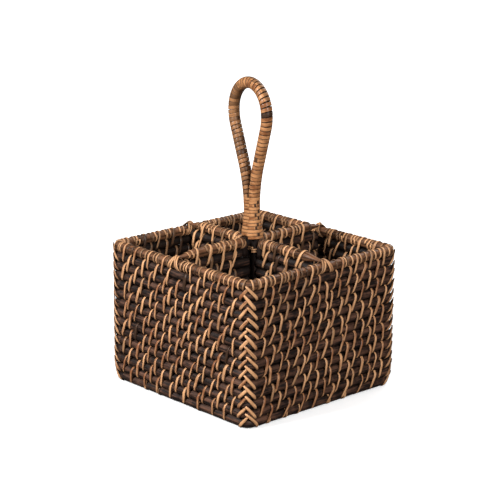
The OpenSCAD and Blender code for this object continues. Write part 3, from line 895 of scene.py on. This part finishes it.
class CADDY_OT_divider_lashing(bpy.types.Operator):
    """Lashes the divider wings and coils loops round their top rods"""
    bl_idname = "caddy.divider_lashing"
    bl_label = "Divider lashing"

    def execute(self, context):
        step, d = caddy.strips.divider_stitch, caddy.dividers
        rises = wing_rise(), wing_rise()
        for w, name in enumerate(WINGS):
            mesh = Mesh()
            put = wing_put(w)
            for k in range(d.rows - 1):
                # painted shade on both sides of a wing, darker for each row further down
                depth_shade = 0.7 + 0.3 * (d.rows - 2 - k)
                lash(mesh, wing_places(k), divider_pitch(), 1700 + 60 * w + k,
                     lambda p: put(p + [0, 0, d.foot_z + k * divider_pitch()]), rises, (depth_shade, depth_shade))
            longs = wing_places(d.rows - 2)
            places = short_places(np.append(longs, longs[-1] - step), step, 1960 + w,
                                  (0.35, 0.64), (0.5,)) + 0.001
            bend_x = elbow_x(w) + ELBOW
            places = places[(places < d.reach - TAPER) & (places > bend_x)]
            top = lambda p: put(p + [0, 0, d.top_z])
            loops_round(mesh, places, 0.001, 1990 + w, top)
            for x, broad, high in TONGUE_LOOPS[:LOOPS_ON_TONGUE[w]]:
                loops_round(mesh, [x], 0.0008, 1930 + w, lambda p: top(p * [1, broad, high]))
            for turn in np.radians([6, 38]):
                loops_round(mesh, [0.0], 0.0006, 1890 + w,
                            lambda p: top(on_elbow(p, turn, bend_x)))
            mesh.piece(f"divider_stitches_{name}", "Split cane", "cane",
                       f"divider_lashing_{name}")
        return {"FINISHED"}


# Strips that cross over the rim at a divider: which way they lead, their place and their lift
CROSSED = ((1, -0.0013, 0.0), (1, 0.0013, 0.0), (-1, 0.0, 0.0006), (-1, 0.0022, 0.0006))


class CADDY_OT_rim_ties(bpy.types.Operator):
    """Crosses strips of cane over the rim where a divider's top rod lies on it"""
    bl_idname = "caddy.rim_ties"
    bl_label = "Rim ties"

    def execute(self, context):
        rods, strips = caddy.rods, caddy.strips
        a = np.radians(np.linspace(-65, 245, 25))
        for w, name in enumerate(WINGS):
            side = (w + 1) % 4
            rng = np.random.default_rng(2100 + w)
            mesh = Mesh()
            for way, aside, lift in CROSSED:
                x = way * 0.0062 * (a - np.pi / 2) / np.radians(155) + aside
                # the tongue under the strips makes a bell-shaped hump
                hump = np.exp(-(x / 0.0034) ** 2) * np.clip(np.sin(a), 0, 1) ** 2
                path = xyz(x, -(rods.radius + LOOSE + lift * 0.6) * np.cos(a),
                           (rods.rise + LOOSE + lift * 0.6) * np.sin(a) + (0.0019 + lift) * hump)
                grid = strip(path, xyz(0, -np.cos(a), np.sin(a)),
                             strips.width * rng.uniform(0.7, 0.9), strips.thickness)
                mesh.add(on_wall(grid + [meeting_x(side), 0, 0], side, rods.rows - 1),
                         rng.uniform(0.6, 1.9))
            mesh.piece(f"rim_tie_{name}_strands", "Split cane", "cane", f"rim_tie_{name}")
        return {"FINISHED"}


# Radius of the arc on which the handle's legs part, and the height where it begins
PART_R, PART_Z = 0.115, 0.154
# Distance between the legs' surfaces and the plane between them
LEG_GAP = 0.00003


def handle_put(points):
    """Carries points from the handle's upright frame to the caddy: turned about Y by the
    lean, then about Z by the turn, then moved to the post's foot."""
    h = caddy.handle
    lean, turn = Matrix.Rotation(-h.lean, 3, "Y"), Matrix.Rotation(h.turn, 3, "Z")
    return points @ np.array(turn @ lean).T + [h.foot_x, 0.0, 0.0]


def loop_line(first, last, points):
    """The handle's centre line from the foot of the right leg up, round the loop and down the
    left leg: straight, parting arc, straight run, side arc and top arc, and the same back.
    Gives so many points between two shares of the whole, their outward normals and the
    length of the whole."""
    h = caddy.handle
    core = h.core + LEG_GAP
    splay, past = math.radians(21), math.radians(3)
    run, side_r = 0.0345, 0.0326
    a = np.linspace(0, splay, 40)
    part = np.stack([core + PART_R * (1 - np.cos(a)), PART_Z + PART_R * np.sin(a)], -1)
    foot = np.stack([np.full(40, core), np.linspace(h.core_foot, PART_Z - 0.003, 40)], -1)
    bow = part[-1] + run * np.array([math.sin(splay), math.cos(splay)])
    side = bow - side_r * np.array([math.cos(splay), -math.sin(splay)])
    b = np.linspace(-splay, past, 30)
    bend = side + side_r * np.stack([np.cos(b), np.sin(b)], -1)
    top_r = (side[0] + side_r * math.cos(past)) / math.cos(past)
    top_z = side[1] + (side_r - top_r) * math.sin(past)
    c = np.linspace(past, np.pi / 2, 50)[1:]
    top = np.stack([top_r * np.cos(c), top_z + top_r * np.sin(c)], -1)
    half = np.concatenate([foot, part, np.linspace(part[-1], bow, 20)[1:-1], bend, top])
    line = np.concatenate([half, half[-2::-1] * [-1, 1]])
    s = distance_along(line)
    at = np.linspace(first * s[-1], last * s[-1], points)
    path = xyz(np.interp(at, s, line[:, 0]), 0, np.interp(at, s, line[:, 1]))
    along = way_along(path)
    return path, xyz(along[:, 2], 0, -along[:, 0]), s[-1]


# Where the loop's winding starts, as a share of a turn: 0 is the outward side, 0.25 the back,
# 0.5 the inner side and 0.75 the front
START_ANGLE = 0.55
# Heights, measured along the legs, of the winding's start on the right and end on the left one
WOUND_FROM, WOUND_TO = 0.1645, 0.1638
# Stained places of the winding, and painted shade: the turn, counted from the right leg's
# foot or, when below zero, from the left one's, the share of the turn at which the dark
# starts, its length and its tone. The entries for the left leg's five lowest turns, on their
# inner side, are painted shade in the crease where the legs meet; the others are stains
STAINS_AND_SHADE = ((21, 0.42, 0.85, 2.7), (5, 0.6, 0.16, 2.1), (4, 0.62, 0.1, 2.4),
          (10, 0.55, 0.2, 1.7), (11, 0.5, 0.16, 2.4), (12, 0.55, 0.22, 1.8),
          (13, 0.58, 0.2, 1.6), (-5, 0.38, 0.16, 2.8), (-7, 0.5, 0.16, 2.4),
          (-8, 0.48, 0.1, 2.2), (-11, 0.45, 0.25, 2.5), (-12, 0.6, 0.15, 2.0),
          (-23, 0.55, 0.3, 2.2), (-4, 0.36, 0.18, 3.2), (-3, 0.36, 0.2, 3.4),
          (-2, 0.36, 0.22, 3.4), (-1, 0.4, 0.25, 3.0))
# Turns over the top of the loop, whose outward side is darker
TOP_TURNS = (24, 37)


def marked(tone, place, start, extent, mark):
    """The tone along a winding with one mark on it. place counts the turns."""
    return np.where((place >= start) & (place <= start + extent), mark, tone)


class CADDY_OT_handle(bpy.types.Operator):
    """Bends the handle's rattan and winds cane round the loop"""
    bl_idname = "caddy.handle"
    bl_label = "Handle loop"

    def execute(self, context):
        h = caddy.handle
        rings = 260
        path, normal, whole = loop_line(0, 1, rings)
        mesh = Mesh()
        size = np.full(rings, h.core) - 0.00008 + 0.00006 * wave(70, distance_along(path), 0.05)
        mesh.add(handle_put(tube(path, normal, size, 16)), 0.3)
        mesh.piece("handle_rattan", "Stained rod", "rod", "handle_core")

        # one strip wound from the right leg's neck round the loop to that of the left leg
        first, last = (WOUND_FROM - h.core_foot) / whole, 1 - (WOUND_TO - h.core_foot) / whole
        turns = round((last - first) * whole / h.loop_turn)
        steps = 18
        path, normal, _ = loop_line(first, last, turns * steps + 1)
        place = np.arange(turns * steps + 1) / steps
        # the angle round the rattan grows by a full circle with each turn
        t = (place + START_ANGLE) * 2 * np.pi
        side = np.cross(way_along(path), normal)
        out = normal * np.cos(t)[:, None] + side * np.sin(t)[:, None]
        rng = np.random.default_rng(77)
        turn = np.minimum((place + 0.15).astype(int), turns - 1)
        left = np.arange(turns) > 0.56 * turns
        tone = (rng.uniform(0, 1, turns) * 0.8 + np.where(left, 1.5, 0))[turn]
        # short dark marks on a quarter of the turns
        for k in range(turns):
            if rng.uniform() < 0.25:
                start, extent = k + rng.uniform(0, 0.9), rng.uniform(0.06, 0.16)
                tone = marked(tone, place, start, extent, rng.uniform(1.9, 2.6))
        for k, start, extent, mark in STAINS_AND_SHADE:
            tone = marked(tone, place, k % turns + start - START_ANGLE, extent, mark)
        outward = np.abs((place + START_ANGLE + 0.5) % 1 - 0.5) < 0.1
        tone = np.where((turn >= TOP_TURNS[0]) & (turn < TOP_TURNS[1]) & outward, 2.0, tone)
        width = h.loop_turn * (0.985 - 0.09 * rng.uniform(0, 1, turns) ** 2)
        grid = strip(path + out * (h.core + 0.00005), out, width[turn], h.wrap - LOOSE, FLAT)
        mesh = Mesh()
        mesh.add(handle_put(grid), tone)
        mesh.piece("handle_winding", "Handle cane", "wrap", "handle_wrap")
        return {"FINISHED"}


def leg_x(z):
    """Distance of a leg's centre from the loop's middle at a height on the parting arc."""
    rise = np.clip((z - PART_Z) / PART_R, 0, 1)
    return caddy.handle.core + LEG_GAP + PART_R * (1 - np.sqrt(1 - rise ** 2))


def round_legs(t, offset, z):
    """Points and outward normals round both legs at a height: two half circles of the offset
    about the legs' centres joined by straight runs, with t from 0 to 1 for one round."""
    apart = leg_x(z)
    arc = np.pi * offset
    s = (t % 1.0) * (2 * arc + 4 * apart)
    # the right half circle, the run along the back, the left half circle, else the front
    parts = (s < arc, s < arc + 2 * apart, s < 2 * arc + 2 * apart)
    a = np.select(parts, (s / offset - np.pi / 2, 0 * s,
                          (s - arc - 2 * apart) / offset + np.pi / 2), 0 * s)
    x = np.select(parts, (apart + offset * np.cos(a), apart - (s - arc),
                          -apart + offset * np.cos(a)), -apart + (s - 2 * arc - 2 * apart))
    nx = np.select(parts, (np.cos(a), 0 * s, np.cos(a)), 0 * s)
    ny = np.select(parts, (np.sin(a), 0 * s + 1, np.sin(a)), 0 * s - 1)
    return xyz(x, offset * ny, z), xyz(nx, ny, 0)


# Height of the neck's foot, and how far each of the neck's turns stands out beyond the plain
# ones, from the lowest up
NECK_Z = 0.1319
NECK_BULGE = (0.0019, 0.0026, 0.0022, 0.0016, 0.0011, 0.0007, 0.0004, 0.0002, 0.0)
# Turns of the neck with a dark joint of the cane on the side of the right leg
JOINTED_TURNS = (1, 3, 4, 6, 7, 8, 10, 11)
# Height of the post's binding, and the width, pitch and thickness of its turns
BINDING_Z, BINDING = 0.12093, (0.0018, 0.0019, 0.0007)


class CADDY_OT_neck(bpy.types.Operator):
    """Winds cane round both legs at the neck, built up at its foot, and binds the post"""
    bl_idname = "caddy.neck"
    bl_label = "Neck and post binding"

    def execute(self, context):
        h = caddy.handle
        turns, steps = 12, 48
        t = np.arange(turns * steps + 1) / steps
        bulge = lambda turn: np.interp(turn, range(9), NECK_BULGE)
        rng = np.random.default_rng(91)
        path, normal = round_legs(t, h.core + LOOSE + bulge(t), NECK_Z + t * h.neck_turn)
        tone = rng.uniform(0, 1, turns)[np.minimum(t.astype(int), turns - 1)]
        for k in JOINTED_TURNS:
            middle, extent = k + 0.13 + rng.uniform(-0.05, 0.05), rng.uniform(0.015, 0.03)
            tone = np.maximum(tone, 3.2 - 1.3 * (np.abs(t - middle) / extent) ** 2)
        mesh = Mesh()
        mesh.add(handle_put(strip(path, normal, h.neck_turn * 0.985, h.wrap - LOOSE, FLAT)),
                 tone)
        # a sleeve behind the turns closes the bulge; its dark tone is painted shade behind and
        # between the turns
        s = np.linspace(0, 1, 41)[:-1]
        rings = [round_legs(s, h.core + SEAT + bulge(k), NECK_Z + k * h.neck_turn)[0]
                 for k in np.linspace(-0.4, turns, 26)]
        mesh.add(handle_put(np.stack(rings)), 3.0)
        mesh.piece("neck_winding", "Handle cane", "wrap", "neck_wrap")

        wide, pitch, thick = BINDING
        t = np.arange(2 * steps + 4) / steps
        path, normal = round_legs(t, h.core + LOOSE, BINDING_Z - wide + pitch * t)
        mesh = Mesh()
        mesh.add(handle_put(strip(path, normal, wide, thick)), 1.6)
        mesh.piece("post_binding_turns", "Split cane", "cane", "post_binding")
        return {"FINISHED"}


class CADDY_OT_base(bpy.types.Operator):
    """Finishes the base's rods and the lashing under them"""
    bl_idname = "caddy.base"
    bl_label = "Base"

    def execute(self, context):
        finishes = {"base_rods": "Base rod", "base_lashing": "Base cane"}
        finishes.update({f"corner_returns_{c}": "Base cane" for c in CORNERS})
        for name, finish in finishes.items():
            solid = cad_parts[name]
            solid.data.materials.clear()
            solid.data.materials.append(materials()[finish])
        return {"FINISHED"}


class CADDY_OT_stage(bpy.types.Operator):
    """Sets the white floor, the soft lamps and the camera"""
    bl_idname = "caddy.stage"
    bl_label = "Stage"

    def execute(self, context):
        scene = context.scene
        scene.view_settings.view_transform = "Standard"
        mesh = bpy.data.meshes.new("floor")
        mesh.from_pydata([(-6, -6, 0), (6, -6, 0), (6, 6, 0), (-6, 6, 0)], [], [(0, 1, 2, 3)])
        floor = bpy.data.objects.new("floor", mesh)
        scene.collection.objects.link(floor)
        mesh.materials.append(floor_material())
        white_world(scene)
        lamp("key", (-0.35, -1.4, 0.95), 0.5, 32.5)
        lamp("fill", (1.5, -0.45, 0.95), 0.7, 25.0)
        lamp("back", (-0.3, 1.35, 1.3), 1.0, 13.0)
        place_camera(scene)
        return {"FINISHED"}


def camera_rays(tree):
    """A factor of 1 for what the camera sees directly, and of 0 for all other light."""
    return node(tree, "ShaderNodeLightPath").outputs["Is Camera Ray"]


def floor_material():
    """White for the camera, with the object's shadow kept as a share of it. The glow stops
    under the caddy, so that the gaps of its base stay dark."""
    tree = new_material("White floor")
    tree.nodes.clear()
    place, seen = node(tree, "ShaderNodeTexCoord").outputs["Object"], camera_rays(tree)
    away = node(tree, "ShaderNodeVectorMath", {0: place}, operation="LENGTH").outputs["Value"]
    sides = node(tree, "ShaderNodeVectorMath", {0: place}, operation="ABSOLUTE").outputs[0]
    split = node(tree, "ShaderNodeSeparateXYZ", {0: sides}).outputs
    past_caddy = ranged(tree, maths(tree, "MAXIMUM", split[0], split[1]), 0.074, 0.086)
    strength = maths(tree, "MULTIPLY", ranged(tree, away, 0.25, 0.9, 0.5, 1.0), past_caddy)
    glow, none = (node(tree, "ShaderNodeEmission", {"Color": (*[level] * 3, 1), "Strength": power})
                  for level, power in ((1, strength), (0, 0.0)))
    shown = node(tree, "ShaderNodeMixShader", {0: seen, 1: none.outputs[0], 2: glow.outputs[0]})
    grey = node(tree, "ShaderNodeBsdfDiffuse", {"Color": ranged(tree, seen, 0, 1, 0.12, 0.85)})
    both = node(tree, "ShaderNodeAddShader", {0: grey.outputs[0], 1: shown.outputs[0]})
    node(tree, "ShaderNodeOutputMaterial", {"Surface": both.outputs[0]})
    return bpy.data.materials["White floor"]


def white_world(scene):
    """White behind the caddy, which itself gets only a little light from all round."""
    scene.world = bpy.data.worlds.new("studio")
    scene.world.use_nodes = True
    tree = scene.world.node_tree
    back = tree.nodes["Background"].inputs
    back["Color"].default_value = (1, 1, 1, 1)
    feed(tree, back["Strength"], ranged(tree, camera_rays(tree), 0, 1, 0.045, 1.0))


def lamp(name, place, size, power):
    """A square area lamp that looks at the caddy's middle."""
    light = bpy.data.lights.new(name, "AREA")
    light.size = size
    light.energy = power
    made = bpy.data.objects.new(name, light)
    aim = (Vector((0, 0, 0.09)) - Vector(place)).to_track_quat("-Z", "Y")
    made.matrix_world = Matrix.Translation(place) @ aim.to_matrix().to_4x4()
    bpy.context.scene.collection.objects.link(made)


def place_camera(scene):
    """The photograph's view: azimuth, height, roll, aim, distance and lens."""
    az, el, roll = math.radians(47.03), math.radians(15.247), math.radians(0.501)
    distance, sensor, focus_px, photo_px = 1.47707, 36, 1706.6, 500
    back = Vector((math.sin(az) * math.cos(el), -math.cos(az) * math.cos(el), math.sin(el)))
    right = Vector((math.cos(az), math.sin(az), 0))
    up = back.cross(right)
    aim = Vector((0, 0, 0.11988)) + right * -0.00319
    across = right * math.cos(roll) + up * math.sin(roll)
    upward = up * math.cos(roll) - right * math.sin(roll)
    camera = bpy.data.cameras.new("camera")
    camera.lens = sensor * focus_px / photo_px
    camera.sensor_width = sensor
    made = bpy.data.objects.new("camera", camera)
    turn = Matrix((across, upward, back)).transposed().to_4x4()
    made.matrix_world = Matrix.Translation(aim + back * distance) @ turn
    scene.collection.objects.link(made)
    scene.camera = made


# Panel and registration -----------------------------------------------------

STEPS = (CADDY_OT_wall_rods, CADDY_OT_wall_lashing, CADDY_OT_rim_loops, CADDY_OT_corner_lacing,
         CADDY_OT_divider_rods, CADDY_OT_divider_lashing, CADDY_OT_rim_ties, CADDY_OT_handle,
         CADDY_OT_neck, CADDY_OT_base, CADDY_OT_stage)
GROUPS = {"caddy_rods": RodSizes, "caddy_strips": StripSizes, "caddy_dividers": DividerSizes,
          "caddy_handle": HandleSizes, "caddy_colours": CaddyColours}


class CADDY_PT_panel(bpy.types.Panel):
    """Lists the caddy's pieces and sizes"""
    bl_idname = "CADDY_PT_panel"
    bl_label = "Lashed caddy"
    bl_space_type = "VIEW_3D"
    bl_region_type = "UI"
    bl_category = "Caddy"

    def draw(self, context):
        for step in STEPS:
            self.layout.operator(step.bl_idname)
        for group in GROUPS:
            box = self.layout.box()
            values = getattr(context.scene, group)
            for name in values.bl_rna.properties.keys():
                if name not in ("rna_type", "name"):
                    box.prop(values, name)


def register():
    for kind in (*GROUPS.values(), *STEPS, CADDY_PT_panel):
        bpy.utils.register_class(kind)
    for name, kind in GROUPS.items():
        setattr(bpy.types.Scene, name, bpy.props.PointerProperty(type=kind))


def unregister():
    for name in GROUPS:
        delattr(bpy.types.Scene, name)
    for kind in reversed((*GROUPS.values(), *STEPS, CADDY_PT_panel)):
        bpy.utils.unregister_class(kind)


def main():
    register()
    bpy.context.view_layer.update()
    for step in STEPS:
        group, name = step.bl_idname.split(".")
        getattr(getattr(bpy.ops, group), name)()


if __name__ == "__main__":
    main()
